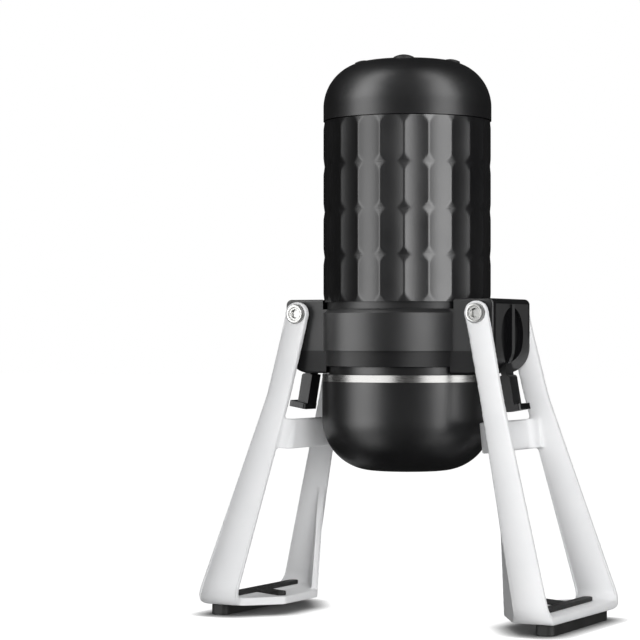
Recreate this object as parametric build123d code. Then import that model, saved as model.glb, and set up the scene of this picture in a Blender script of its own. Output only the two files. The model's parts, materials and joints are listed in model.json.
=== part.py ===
from build123d import *
from math import atan2, cos, degrees, pi, sin, tan
import os

# Portable hand-pumped espresso maker on two fold-out legs.
# Millimetres. +Z is up and the floor is z = 0. The body's axis is the Z axis, the legs
# hinge about axes along Y at +X and -X, and every height is stacked from the hinge axis.

# ---------------------------------------------------------------- driving dimensions
# body stack, bottom to top
HINGE_HEIGHT = 142.2       # leg hinge axis above the floor
BODY_R = 39.5              # ring, sleeve and cap
RING_ABOVE_HINGE = 2.0
RING_HEIGHT = 19.2
RING_CHAMFER = 1.8
COLLAR_HEIGHT = 7.2        # plain collar under the ring
COLLAR_STEP = 1.2          # how far the collar stands in from the ring
NECK_GAP = 3.9             # gap between the collar and the cup's rim
NECK_STEP = 2.8            # how far the gap's floor stands in from the ring
TANK_NECK = 3.4            # neck between the ring and the sleeve
TANK_NECK_STEP = 1.8
CAP_HEIGHT = 27.8
CAP_STEP = 0.1
CAP_ROUND = 21.5           # big round of the cap's shoulder
WALL = 2.4                 # moulded walls

# grip sleeve
TILES_ROUND = 22
TILES_TURN = -58.1         # degrees about Z of the middle of one column of tiles
TILE_ROWS = 4
TILE_HEIGHT = 21.15
TILE_CROWN = 0.25          # a tile's middle over the flat between its two upright edges
ROW_DIP = 0.5              # dip between two rows of tiles
ROW_DIP_HEIGHT = 7.0
DIAMOND_WIDTH = 6.4
DIAMOND_HEIGHT = 7.6
DIAMOND_DEPTH = 1.3
SLEEVE_WALL = 2.9

# pump and tank
ROD_R = 4.0
STROKE = 50.0
BARREL_R = 9.0             # bore
BARREL_WALL = 2.4
BARREL_GAP = 2.0           # barrel's foot over the tank's floor, and the piston over the barrel's
PISTON_HEIGHT = 9.0
PISTON_SEAL_T = 1.6
PISTON_SEAL_HEIGHT = 3.0
INLET_COUNT = 6
INLET_R = 1.1
INLET_CIRCLE = 7.2
OUTLET_BORE_R = 3.2
OUTLET_TUBE_R = 5.0
PLUG_HEIGHT = 2.0
PLUG_BORE_R = 1.2
BALL_R = 2.6
THROAT_R = 1.5             # hole over the ball
SEAT_CONE = 2.0            # height of the ball's conical seat
OUTLET_SPRING_R = 1.7
OUTLET_WIRE_R = 0.3
OUTLET_TURNS = 5
VALVE_T = 1.0
VALVE_LAP = 0.6            # flap valve beyond the inlets, each way
DECK_T = 3.0
FILLER_R = 6.5
GLAND_FLANGE = 1.6
GLAND_LAP = 2.0            # gland's flange on the deck
SOCKET_GAP = 2.0
CAP_FEET = 4
CAP_FEET_TURN = -69.0      # degrees about Z of one foot
CAP_FOOT_R = 4.7
CAP_FOOT_SINK = 1.8
CAP_FOOT_PROUD = 1.2
CAP_FOOT_CIRCLE = 20.0

# group head, portafilter and cup
SPIGOT_WALL = 2.6          # portafilter's wall round the basket's rim
RING_WALL = 3.9            # ring round the bore that the tank screws into
WEB_T = 4.0                # web between the two bores
WEB_DROP = 11.2            # web's upper face below the ring's top
SEAL_T = 2.0
GASKET_HEIGHT = 3.0
GASKET_WIDTH = 6.0
SCREEN_T = 1.2
SCREEN_HOLE_R = 1.1
BASKET_R = 28.6
BASKET_DEPTH = 20.0
BASKET_WALL = 0.8
BASKET_RIM = 2.6
BASKET_HOLE_R = 0.8
FUNNEL_HEIGHT = 11.0
SPOUT_R = 6.0
SPOUT_BORE_R = 2.6
SPOUT_LENGTH = 8.0
PLUG_DEPTH = 8.0           # how far the portafilter reaches into the cup's mouth
CUP_RING_T = 1.5
CUP_RING_HEIGHT = 2.2
CUP_PROUD = 0.4            # cup's side proud of the ring's
CUP_HEIGHT = 44.9
CUP_RIM_BAND = 3.2
CUP_ROUND = 24.0
CUP_SHELL_WALL = 2.0
LINER_WALL = 0.8

# hinge blocks on the ring
HINGE_OFFSET = 6.5         # hinge axis out from the ring's side
BLOCK_REACH = 7.4          # block's end face out from the hinge axis
BLOCK_HALF_WIDTH = 21.4
BLOCK_OVER_HINGE = 6.7
BLOCK_UNDER_HINGE = 27.8
BLOCK_OUTER_ROUND = 12.0
BLOCK_TOP_ROUND = 2.6
BLOCK_EDGE_ROUND = 1.2
POCKET_R = 12.7
POCKET_DROP = 9.9
POCKET_DEPTH = 2.0
RIB_T = 3.0
RIB_PROUD = 0.6
RIB_INSET = 4.0            # rib's lower end above the block's underside
COVER_T = 3.0
COVER_MARGIN = 2.4         # block's edge left round the cover

# latches
LATCH_LEAN = 10.0          # degrees, the line from the hinge axis through the latch
LATCH_T = 5.4              # blade, below the block
LATCH_WIDTH = 9.0
LATCH_ROUND = 1.5
LATCH_SHOULDER = 1.0       # top of the blade below the block
LATCH_STEM_T = 2.8         # stem, inside the block
LATCH_STEM_WIDTH = 8.0
LATCH_TIP = 4.4            # top of the bolt from the hinge axis
LATCH_FLANGE = 42.8        # top of the finger flange from the hinge axis
LATCH_FLANGE_T = 2.8
LATCH_FLANGE_REACH = 6.6
LATCH_FLANGE_LIP = 1.5
LATCH_PLAY = 0.2
LATCH_PIN_R = 1.5
LATCH_PIN_DROP = 18.0
LATCH_PIN_HOLD = 3.0
LATCH_WIRE_R = 0.3
LATCH_TURNS = 4
LATCH_WINDOW_TOP = 9.0

# legs
AXLE_R = 4.0
KNUCKLE_R = 5.6
RAIL_T = 3.8
RAIL_GAP = 0.3             # rail's inner face from the block's side
KNEE_DROP = 38.0
KNEE_OUT = 8.4             # rail's middle out from the hinge at the knee
KNEE_SPREAD = 2.4          # rail's outer face further out in Y at the knee
KNEE_HALF = 5.2            # half the front rail's width at the knee
KNEE_ROUND = 90.0
FOOT_OUT = 35.0            # rail's middle out from the hinge at the foot
FOOT_SPREAD = 17.0
FOOT_HALF = 8.3
REAR_WIDER = 0.8           # what the rear rail's plane is wider on each side, at the knee
REAR_WIDER_FOOT = 2.3      # and at the foot
FOOT_ROUND = 8.0
TOE_ROUND = 2.0
PLATE_T = 3.8
RUBBER_T = 4.8             # rubber under the plate
RUBBER_WIDTH = 9.0
RUBBER_ROUND = 3.0
INLAY_WIDTH = 5.0
INLAY_HEIGHT = 2.0
INLAY_INSET = 3.0          # rib's long arms in from the rails' middle
INLAY_FORK = 6.0           # fork from the middle of the plate
CROSSBAR_DROP = 49.5
CROSSBAR_HEIGHT = 14.0
CROSSBAR_IN = 2.6          # foot of the crossbar's inner face out from the hinge
CROSSBAR_LIP = 9.0
CROSSBAR_LEAN = 6.0        # degrees
CROSSBAR_ROUND = 7.0
TONGUE_IN = 8.6            # tongue's inner edge out from the hinge
TONGUE_FRONT = 13.0        # ends of the tongue's inner edge, from the middle
TONGUE_REAR = 20.0
TONGUE_ROUND = 5.0
HEEL_DROP = 85.0           # top of the wall that runs from the front rail along the tongue
SCREW_HEAD_R = 4.3
SCREW_HEAD_T = 2.4
SCREW_R = 2.5
SCREW_LENGTH = 12.0
SCREW_SINK = 1.5
SCREW_SOCKET = 4.0

# clearances
RUN = 0.05                 # radial, running fits and parts pressed together
TOUCH = 0.1                # faces that close on each other
SEAT = 0.3                 # moving parts that lie side by side
SLIP = 0.4                 # radial, parts that lift out

# ---------------------------------------------------------------- worked-out places
hinge_x = BODY_R + HINGE_OFFSET
ring_top = HINGE_HEIGHT + RING_ABOVE_HINGE
ring_bottom = ring_top - RING_HEIGHT
collar_bottom = ring_bottom - COLLAR_HEIGHT
collar_r = BODY_R - COLLAR_STEP
neck_r = BODY_R - NECK_STEP
cup_top = collar_bottom - NECK_GAP
cup_bottom = cup_top - CUP_HEIGHT
sleeve_bottom = ring_top + TANK_NECK
sleeve_top = sleeve_bottom + TILE_ROWS * TILE_HEIGHT
cap_bottom = sleeve_top + SEAT
cap_top = cap_bottom + CAP_HEIGHT
cap_r = BODY_R - CAP_STEP
cup_r = BODY_R + CUP_PROUD
basket_rim_r = BASKET_R + BASKET_RIM
basket_way_r = BASKET_R + SLIP
lock_bore_r = basket_rim_r + SLIP + SPIGOT_WALL + SLIP
tank_bore_r = BODY_R - RING_WALL
foot_turns = [CAP_FEET_TURN + 360 * i / CAP_FEET for i in range(CAP_FEET)]

web_top = ring_top - WEB_DROP
web_bottom = web_top - WEB_T
tank_foot = web_top + SEAL_T + TOUCH
tank_neck_r = BODY_R - TANK_NECK_STEP
tank_r = BODY_R - SLEEVE_WALL - TOUCH
tank_floor_top = ring_top + WALL
deck_top = sleeve_top - 2 * TOUCH
deck_bottom = deck_top - DECK_T
outlet_foot = web_top - WEB_T / 2
barrel_foot = tank_floor_top + BARREL_GAP
barrel_floor = barrel_foot + BARREL_WALL
seat_low = barrel_floor - SEAT_CONE - THROAT_R
piston_bottom = barrel_floor + BARREL_GAP
piston_top = piston_bottom + PISTON_HEIGHT
seal_low = piston_bottom + (PISTON_HEIGHT - PISTON_SEAL_HEIGHT) / 2
seal_high = seal_low + PISTON_SEAL_HEIGHT
gland_bottom = piston_top + STROKE + SEAT
gland_top = deck_top + GLAND_FLANGE
rod_foot = piston_bottom + PISTON_SEAL_HEIGHT
seat_slope = atan2(SEAT_CONE, OUTLET_BORE_R - THROAT_R)
ball_height = seat_low + OUTLET_BORE_R * tan(seat_slope) - (BALL_R + RUN) / cos(seat_slope)
rod_top = cap_top - 2 * WALL

portafilter_top = web_bottom - GASKET_HEIGHT - TOUCH
basket_rim_low = portafilter_top - BASKET_WALL
basket_floor = portafilter_top - BASKET_DEPTH
funnel_top = basket_floor - 1.0
funnel_foot = funnel_top - FUNNEL_HEIGHT
spout_foot = funnel_foot - SPOUT_LENGTH
liner_r = cup_r - CUP_SHELL_WALL - RUN - LINER_WALL
plug_r = liner_r - SEAT
plug_foot = cup_top - PLUG_DEPTH
plug_groove_top = plug_foot + 2 * CUP_RING_HEIGHT
plug_groove_low = plug_foot + CUP_RING_HEIGHT

block_top = HINGE_HEIGHT + BLOCK_OVER_HINGE
block_bottom = HINGE_HEIGHT - BLOCK_UNDER_HINGE
block_end = hinge_x + BLOCK_REACH
cover_x = block_end - COVER_T
rail_outer_y = BLOCK_HALF_WIDTH + RAIL_GAP + RAIL_T
plate_bottom = RUBBER_T
plate_top = plate_bottom + PLATE_T
knee_z = HINGE_HEIGHT - KNEE_DROP
foot_x = hinge_x + FOOT_OUT
rail_inner_knee = (hinge_x + KNEE_OUT - KNEE_HALF, knee_z)
rail_inner_foot = (foot_x - FOOT_HALF, plate_bottom)
rail_outer_knee = (hinge_x + KNEE_OUT + KNEE_HALF, knee_z)
rail_outer_foot = (foot_x + FOOT_HALF, plate_bottom)
rail_side_knee = (rail_outer_y + KNEE_SPREAD, knee_z)
rail_side_foot = (rail_outer_y + FOOT_SPREAD, plate_bottom)
tongue_x = hinge_x + TONGUE_IN

BOTTOM = (Align.CENTER, Align.CENTER, Align.MIN)
TOP = (Align.CENTER, Align.CENTER, Align.MAX)


# ---------------------------------------------------------------- helpers
def tube(outer_r, inner_r, low, high):
    """Plain ring, or a disc where inner_r is 0, about the Z axis."""
    body = Pos(0, 0, low) * Cylinder(outer_r, high - low, align=BOTTOM)
    if inner_r > 0:
        body -= Pos(0, 0, low - 1) * Cylinder(inner_r, high - low + 2, align=BOTTOM)
    return body


def turned(points):
    """Solid of revolution about Z of a closed outline of (radius, height) points."""
    outline = make_face(Polyline(*points, close=True))
    return revolve(Plane.XZ * outline, Axis.Z)


def coil(radius, wire_r, low, high, turns):
    """Round-wire helical spring about Z that fits between two heights."""
    rise = high - low - 2 * (wire_r + TOUCH)
    path = Helix(pitch=rise / turns, height=rise, radius=radius, center=(0, 0, low + wire_r + TOUCH))
    start = Plane(origin=path @ 0, z_dir=path % 0)
    return sweep(start * Circle(wire_r), path, is_frenet=True)


def hole_ring(count, radius, hole_r, low, high, turn=0.0):
    """Round drills along Z, evenly spaced on a circle."""
    drill = Cylinder(hole_r, high - low, align=BOTTOM)
    turns = [turn + 360 * i / count for i in range(count)]
    return [Rot(0, 0, angle) * Pos(radius, 0, low) * drill for angle in turns]


def both_sides(piece):
    """A piece modelled at +X, and the same piece turned half round to -X."""
    return {"right": piece, "left": Rot(0, 0, 180) * piece}


def from_hinge(piece, lean):
    """A piece modelled about the hinge axis, hanging straight down, put at +X at its lean."""
    return Pos(hinge_x, 0, HINGE_HEIGHT) * Rot(0, -lean, 0) * piece


# ---------------------------------------------------------------- ring with hinge blocks
def hinge_block():
    """One block at +X, with a round pocket in its end face and a rib down the pocket."""
    inner_x = BODY_R * 0.7
    side = make_face(Polyline(
        (inner_x, block_bottom), (block_end, block_bottom), (block_end, block_top), (inner_x, block_top),
        close=True))
    outer_corners = side.vertices().group_by(Axis.X)[-1].sort_by(Axis.Y)
    side = fillet(outer_corners[0], BLOCK_OUTER_ROUND)
    side = fillet(side.vertices().group_by(Axis.Y)[-1].sort_by(Axis.X)[-1], BLOCK_TOP_ROUND)
    block = extrude(Plane.XZ * side, BLOCK_HALF_WIDTH, both=True)
    block = fillet(block.edges().filter_by(Axis.Z).group_by(Axis.X)[-1], BLOCK_EDGE_ROUND)
    pocket = Rot(0, 90, 0) * Cylinder(POCKET_R, POCKET_DEPTH + 1, align=BOTTOM)
    block -= Pos(block_end - POCKET_DEPTH, 0, HINGE_HEIGHT - POCKET_DROP) * pocket
    rib = Pos(RIB_PROUD, 0, 0) * extrude(Plane.XZ * side, RIB_T / 2, both=True)
    rib_height = block_top - block_bottom - RIB_INSET - BLOCK_TOP_ROUND
    rib &= Pos(cover_x, 0, block_bottom + RIB_INSET) * Box(
        BLOCK_REACH, RIB_T, rib_height, align=(Align.MIN, Align.CENTER, Align.MIN))
    return block + rib


def cover_space(gap):
    """Room for the end cover: everything outside its plane, within its width and height."""
    half, high = BLOCK_HALF_WIDTH - COVER_MARGIN - gap, BLOCK_UNDER_HINGE + BLOCK_OVER_HINGE
    room = Box(2 * COVER_T, 2 * half, high, align=(Align.MIN, Align.CENTER, Align.MAX))
    return Pos(cover_x, 0, block_top - COVER_MARGIN - gap) * room


def latch_room():
    """Space for the latch's stem, its pin and the axle in a block at +X."""
    slot_t, slot_width = LATCH_STEM_T + 2 * LATCH_PLAY, LATCH_STEM_WIDTH + 2 * LATCH_PLAY
    slot = Box(slot_t, slot_width, BLOCK_UNDER_HINGE + BLOCK_REACH, align=TOP)
    axle_bore = Rot(90, 0, 0) * Cylinder(AXLE_R + RUN, 2 * BLOCK_HALF_WIDTH + 2)
    return from_hinge(slot + latch_pin(), LATCH_LEAN) + from_hinge(axle_bore, 0)


def make_end_cover():
    """Cover with the ribbed pocket, let into the end face of the block at +X."""
    return (hinge_block() & cover_space(0)) - latch_room()


def make_base_frame():
    """Ring and collar, a web between the lower and upper bores, and the two hinge blocks."""
    tube_way = OUTLET_TUBE_R + SLIP
    ring = turned([
        (lock_bore_r, collar_bottom), (collar_r, collar_bottom), (collar_r, ring_bottom),
        (BODY_R, ring_bottom), (BODY_R, ring_top - RING_CHAMFER), (BODY_R - RING_CHAMFER, ring_top),
        (tank_bore_r, ring_top), (tank_bore_r, web_top), (tube_way, web_top), (tube_way, web_bottom),
        (lock_bore_r, web_bottom),
    ])
    core = tube(BODY_R + SEAT, 0, ring_top, block_top + 1)
    core += tube((BODY_R + tank_bore_r) / 2, 0, ring_bottom, ring_top)
    core += tube((collar_r + lock_bore_r) / 2, 0, collar_bottom, ring_bottom)
    core += tube(collar_r, 0, block_bottom - 1, collar_bottom)
    block = hinge_block() - core - cover_space(0) - latch_room()
    for piece in both_sides(block).values():
        ring += piece
    return ring


def latch_pin():
    """Pin that stands in the slot's inner wall and crosses the slot, about the hinge axis."""
    foot_x = -(LATCH_STEM_T / 2 + LATCH_PLAY + LATCH_PIN_HOLD)
    length = LATCH_STEM_T + LATCH_PLAY + LATCH_PIN_HOLD
    return Pos(foot_x, 0, -LATCH_PIN_DROP) * Rot(0, 90, 0) * Cylinder(LATCH_PIN_R, length, align=BOTTOM)


def make_latch():
    """Bolt with a spring window round the cross pin, and a finger flange at its foot."""
    top, low = -LATCH_TIP, -(LATCH_FLANGE + LATCH_FLANGE_T)
    shoulder = -(BLOCK_UNDER_HINGE + LATCH_SHOULDER)
    stem = Pos(0, 0, top) * Box(LATCH_STEM_T, LATCH_STEM_WIDTH, top - shoulder, align=TOP)
    stem = chamfer(stem.edges().group_by(Axis.Z)[-1].filter_by(Axis.Y), LATCH_STEM_T * 0.3)
    window_low = -(LATCH_PIN_DROP + LATCH_PIN_R + LATCH_PLAY)
    window_size = (LATCH_T, 2 * (LATCH_PIN_R + LATCH_PLAY), -LATCH_WINDOW_TOP - window_low)
    stem -= Pos(0, 0, -LATCH_WINDOW_TOP) * Box(*window_size, align=TOP)
    blade = Box(LATCH_T, LATCH_WIDTH, shoulder - low, align=TOP)
    blade = fillet(blade.edges().group_by(Axis.Z)[-1].filter_by(Axis.Y).sort_by(Axis.X)[-1], LATCH_ROUND)
    bolt = stem + Pos(0, 0, shoulder) * blade
    flange_size = (LATCH_T / 2 + LATCH_FLANGE_REACH, LATCH_WIDTH + 2 * LATCH_FLANGE_LIP, LATCH_FLANGE_T)
    flange = Box(*flange_size, align=(Align.MIN, Align.CENTER, Align.MIN))
    flange = fillet(flange.edges().filter_by(Axis.Z), LATCH_FLANGE_LIP)
    bolt += Pos(-LATCH_T / 2, 0, low) * flange
    return from_hinge(bolt, LATCH_LEAN)


def make_latch_spring():
    """Spring as wide as the pin that it stands on, up to the top of the latch's window."""
    low, radius = LATCH_PIN_R - LATCH_PIN_DROP, LATCH_PIN_R - LATCH_WIRE_R
    return from_hinge(coil(radius, LATCH_WIRE_R, low, -LATCH_WINDOW_TOP, LATCH_TURNS), LATCH_LEAN)


# ---------------------------------------------------------------- group head and portafilter
def make_shower_screen():
    low = web_bottom - SCREEN_T
    drills = hole_ring(1, 0, SCREEN_HOLE_R, low - 1, web_bottom + 1)
    for count, share in ((6, 0.33), (12, 0.66)):
        drills += hole_ring(count, BASKET_R * share, SCREEN_HOLE_R, low - 1, web_bottom + 1)
    return tube(BASKET_R - SLIP, 0, low, web_bottom) - drills


def make_group_gasket():
    return tube(lock_bore_r - RUN, lock_bore_r - GASKET_WIDTH, web_bottom - GASKET_HEIGHT, web_bottom)


def make_portafilter():
    """Screw-in holder: spigot in the ring, neck, plug in the cup's mouth, funnel and spout."""
    spigot_r = lock_bore_r - SLIP
    groove_r = plug_r - CUP_RING_T
    outer_r = basket_way_r + WALL
    rim_way_r = basket_rim_r + SLIP
    rim_seat = portafilter_top - BASKET_WALL - TOUCH
    return turned([
        (rim_way_r, portafilter_top), (spigot_r, portafilter_top), (spigot_r, collar_bottom - SEAT),
        (neck_r, collar_bottom - SEAT), (neck_r, cup_top + SEAT), (plug_r, cup_top + SEAT),
        (plug_r, plug_groove_top), (groove_r, plug_groove_top), (groove_r, plug_groove_low),
        (plug_r, plug_groove_low), (plug_r, plug_foot), (outer_r, plug_foot), (outer_r, funnel_top - WALL),
        (SPOUT_R, funnel_foot - WALL), (SPOUT_R, spout_foot), (SPOUT_BORE_R, spout_foot),
        (SPOUT_BORE_R, funnel_foot), (basket_way_r, funnel_top), (basket_way_r, rim_seat),
        (rim_way_r, rim_seat),
    ])


def make_basket():
    """Coffee basket: pressed steel cup with a flat rim and a drilled floor."""
    low = basket_floor
    basket = turned([
        (0, low), (BASKET_R, low), (BASKET_R, basket_rim_low), (basket_rim_r, basket_rim_low),
        (basket_rim_r, basket_rim_low + BASKET_WALL), (BASKET_R - BASKET_WALL, basket_rim_low + BASKET_WALL),
        (BASKET_R - BASKET_WALL, low + BASKET_WALL), (0, low + BASKET_WALL),
    ])
    drills = hole_ring(1, 0, BASKET_HOLE_R, low - 1, low + 2)
    for count, share in ((6, 0.28), (12, 0.56), (18, 0.84)):
        drills += hole_ring(count, BASKET_R * share, BASKET_HOLE_R, low - 1, low + 2)
    return basket - drills


def make_cup_ring():
    return tube(liner_r - RUN, plug_r - CUP_RING_T, plug_groove_low, plug_groove_top)


def bowl(outer_r, low, high, round_r):
    """Solid bowl shape: flat floor, big rounded corner and straight side."""
    with BuildSketch(Plane.XZ) as half:
        with BuildLine():
            Polyline((outer_r, low + round_r), (outer_r, high), (0, high), (0, low), (outer_r - round_r, low))
            RadiusArc((outer_r - round_r, low), (outer_r, low + round_r), -round_r)
        make_face()
    return revolve(half.sketch, Axis.Z)


def make_cup_shell():
    rim = cup_top - CUP_RIM_BAND
    hollow = bowl(cup_r - CUP_SHELL_WALL, cup_bottom + CUP_SHELL_WALL, rim + 1, CUP_ROUND - CUP_SHELL_WALL)
    return bowl(cup_r, cup_bottom, rim, CUP_ROUND) - hollow


def make_cup_liner():
    """Steel cup inside the black shell; its thick rim shows as a bright band."""
    gap = CUP_SHELL_WALL + RUN
    body = bowl(cup_r - gap, cup_bottom + gap, cup_top - CUP_RIM_BAND, CUP_ROUND - gap)
    body += tube(cup_r, 0, cup_top - CUP_RIM_BAND, cup_top)
    inner = gap + LINER_WALL
    return body - bowl(liner_r, cup_bottom + inner, cup_top + 1, CUP_ROUND - inner)


# ---------------------------------------------------------------- pump and tank
def make_tank():
    """Water tank: a spigot in the ring, a neck, a thin wall inside the sleeve and a floor."""
    inner_r = tank_r - WALL
    spigot_r = tank_bore_r - SLIP
    tube_way = OUTLET_TUBE_R + RUN
    floor_low = tank_floor_top - WALL
    return turned([
        (tube_way, floor_low), (spigot_r - WALL, floor_low), (spigot_r - WALL, tank_foot),
        (spigot_r, tank_foot), (spigot_r, ring_top + TOUCH), (tank_neck_r, ring_top + TOUCH),
        (tank_neck_r, sleeve_bottom), (tank_r, sleeve_bottom), (tank_r, deck_top), (inner_r, deck_top),
        (inner_r, tank_floor_top), (tube_way, tank_floor_top),
    ])


def make_tank_seal():
    return tube(tank_bore_r - RUN, tank_bore_r - SLIP - WALL - 1, web_top, web_top + SEAL_T)


def sleeve_outline():
    """Outline of the sleeve: a many-sided figure with slightly crowned sides."""
    half = pi / TILES_ROUND
    crown_r = BODY_R * cos(half) + TILE_CROWN
    sides = []
    for i in range(TILES_ROUND):
        points = [(BODY_R, 2 * i - 1), (crown_r, 2 * i), (BODY_R, 2 * i + 1)]
        sides.append(ThreePointArc(*[(r * cos(half * k), r * sin(half * k)) for r, k in points]))
    return make_face(Wire(sides))


def diamond():
    """Four-sided hollow that points to the sleeve's axis, its mouth proud of the surface."""
    proud = ROW_DIP
    faces = []
    for depth in (proud, -DIAMOND_DEPTH * 0.98):
        share = (depth + DIAMOND_DEPTH) / DIAMOND_DEPTH
        wide, tall = share * DIAMOND_WIDTH / 2, share * DIAMOND_HEIGHT / 2
        outline = Polyline((wide, 0), (0, tall), (-wide, 0), (0, -tall), close=True)
        faces.append(Plane.YZ.offset(depth) * make_face(outline))
    return loft(faces)


def row_dip(level):
    """Shallow round groove about the sleeve, where one row of tiles meets the next."""
    groove_r = (ROW_DIP ** 2 + (ROW_DIP_HEIGHT / 2) ** 2) / (2 * ROW_DIP)
    ring = Pos(BODY_R - ROW_DIP + groove_r, level) * Circle(groove_r)
    return revolve(Plane.XZ * ring, Axis.Z)


def make_sleeve():
    """Grip sleeve: upright tiles in rows, with a diamond hollow where four tiles meet."""
    sleeve = Pos(0, 0, sleeve_bottom) * extrude(sleeve_outline(), sleeve_top - sleeve_bottom)
    cuts = [tube(tank_r + TOUCH, 0, sleeve_bottom - 1, sleeve_top + 1)]
    edges = [360 / TILES_ROUND * (i + 0.5) for i in range(TILES_ROUND)]
    for row in range(TILE_ROWS + 1):
        level = sleeve_bottom + row * TILE_HEIGHT
        cuts.append(row_dip(level))
        cuts += [Rot(0, 0, edge) * Pos(BODY_R - ROW_DIP, 0, level) * diamond() for edge in edges]
    return Rot(0, 0, TILES_TURN) * (sleeve - cuts)


def make_barrel():
    """Pump barrel: floor with inlets, outlet tube below it, and a deck that closes the tank."""
    outer_r = BARREL_R + BARREL_WALL
    deck_r = tank_r - WALL - RUN
    barrel = turned([
        (THROAT_R, barrel_floor), (BARREL_R, barrel_floor), (BARREL_R, deck_top), (deck_r, deck_top),
        (deck_r, deck_bottom), (outer_r, deck_bottom), (outer_r, barrel_foot), (OUTLET_TUBE_R, barrel_foot),
        (OUTLET_TUBE_R, outlet_foot), (OUTLET_BORE_R, outlet_foot), (OUTLET_BORE_R, seat_low),
        (THROAT_R, seat_low + SEAT_CONE),
    ])
    inlets = hole_ring(INLET_COUNT, INLET_CIRCLE, INLET_R, barrel_foot - 1, barrel_floor + 1)
    filler = hole_ring(1, (outer_r + deck_r) / 2, FILLER_R, deck_bottom - 1, deck_top + 1, TILES_TURN)
    return barrel - (inlets + filler)


def make_inlet_valve():
    """Rubber flap that lies over the inlets on the barrel's floor."""
    reach = INLET_R + VALVE_LAP
    return tube(INLET_CIRCLE + reach, INLET_CIRCLE - reach, barrel_floor, barrel_floor + VALVE_T)


def make_outlet_ball():
    return Pos(0, 0, ball_height) * Sphere(BALL_R)


def make_outlet_spring():
    """Spring between the outlet's plug and the foot of the ball."""
    low = outlet_foot + PLUG_HEIGHT
    return coil(OUTLET_SPRING_R, OUTLET_WIRE_R, low, ball_height - BALL_R, OUTLET_TURNS)


def make_gland():
    """Bush that guides the rod, hung in the barrel's mouth by its flange."""
    bore = ROD_R + RUN
    fit_r = BARREL_R - RUN
    flange_r = BARREL_R + GLAND_LAP
    return turned([
        (bore, gland_bottom), (fit_r, gland_bottom), (fit_r, deck_top), (flange_r, deck_top),
        (flange_r, gland_top), (bore, gland_top),
    ])


def make_piston():
    """Piston head with a groove for its seal and a socket for the rod."""
    side = BARREL_R - SEAT
    groove = side - PISTON_SEAL_T
    socket = ROD_R + RUN
    return turned([
        (0, piston_bottom), (side, piston_bottom), (side, seal_low), (groove, seal_low), (groove, seal_high),
        (side, seal_high), (side, piston_top), (socket, piston_top), (socket, rod_foot), (0, rod_foot),
    ])


def make_piston_seal():
    return tube(BARREL_R - RUN, BARREL_R - SEAT - PISTON_SEAL_T, seal_low, seal_high)


def dome(outer_r, low, top, round_r):
    """Solid dome shape: straight side, big rounded shoulder and flat crown."""
    with BuildSketch(Plane.XZ) as half:
        with BuildLine():
            Polyline((outer_r - round_r, top), (0, top), (0, low), (outer_r, low), (outer_r, top - round_r))
            RadiusArc((outer_r, top - round_r), (outer_r - round_r, top), -round_r)
        make_face()
    return revolve(half.sketch, Axis.Z)


def make_cap():
    """Dome cap that is the pump's handle, with a socket inside for the rod."""
    cap = dome(cap_r, cap_bottom, cap_top, CAP_ROUND)
    cap -= dome(cap_r - WALL, cap_bottom - 1, cap_top - WALL, CAP_ROUND - WALL)
    cap += tube(ROD_R + WALL, ROD_R + RUN, gland_top + SOCKET_GAP, rod_top)
    cap += tube(ROD_R + WALL, 0, rod_top, cap_top - WALL / 2)
    hole = Cylinder(CAP_FOOT_R, CAP_FOOT_SINK + 1, align=BOTTOM)
    for turn in foot_turns:
        cap -= Rot(0, 0, turn) * Pos(CAP_FOOT_CIRCLE, 0, cap_top - CAP_FOOT_SINK) * hole
    return cap


def make_cap_feet():
    """Low domed rubber feet, pressed into blind holes in the crown."""
    foot = Cylinder(CAP_FOOT_R, CAP_FOOT_SINK + CAP_FOOT_PROUD, align=BOTTOM)
    dome_r = (CAP_FOOT_R ** 2 + CAP_FOOT_PROUD ** 2) / (2 * CAP_FOOT_PROUD)
    foot &= Pos(0, 0, CAP_FOOT_SINK + CAP_FOOT_PROUD - dome_r) * Sphere(dome_r)
    return [Rot(0, 0, turn) * Pos(CAP_FOOT_CIRCLE, 0, cap_top - CAP_FOOT_SINK) * foot for turn in foot_turns]


# ---------------------------------------------------------------- legs
def side_profile(wider, wider_foot):
    """Rail seen from the front: knuckle at the hinge, knee, and a foot that widens outwards."""
    half, half_foot = Vector(wider, 0), Vector(wider_foot, 0)
    inner_knee, outer_knee = Vector(*rail_inner_knee) - half, Vector(*rail_outer_knee) + half
    inner_foot, outer_foot = Vector(*rail_inner_foot) - half_foot, Vector(*rail_outer_foot) + half_foot
    face = make_face(Polyline(
        (hinge_x - KNUCKLE_R, HINGE_HEIGHT), inner_knee, inner_foot, outer_foot, outer_knee,
        (hinge_x + KNUCKLE_R, HINGE_HEIGHT), close=True))
    toe = face.vertices().group_by(Axis.Y)[0].sort_by(Axis.X)[-1]
    face = fillet(toe, TOE_ROUND)
    knees = [v for v in face.vertices() if abs(v.Y - knee_z) < TOUCH]
    face = fillet(knees, KNEE_ROUND)
    return face + Pos(hinge_x, HINGE_HEIGHT) * Circle(KNUCKLE_R)


def end_band(inset, floor_z, round_r):
    """Leg seen from the side: a U with its legs spreading, drawn inset from the outer face."""
    top = HINGE_HEIGHT + 2 * KNUCKLE_R
    points = [
        (rail_outer_y - inset, top), (rail_outer_y - inset, HINGE_HEIGHT - KNUCKLE_R),
        (rail_side_knee[0] - inset, knee_z), (rail_side_foot[0] - inset, floor_z),
    ]
    outline = Polyline(*points, *[(-y, z) for y, z in reversed(points)], close=True)
    face = fillet(make_face(outline).vertices().group_by(Axis.Y)[0], round_r)
    knees = [v for v in face.vertices() if abs(v.Y - knee_z) < TOUCH]
    return fillet(knees, KNEE_ROUND)


def on_line(start, end, height):
    """Value at a height on the line through two (value, height) points."""
    return start[0] + (end[0] - start[0]) * (height - start[1]) / (end[1] - start[1])


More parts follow.
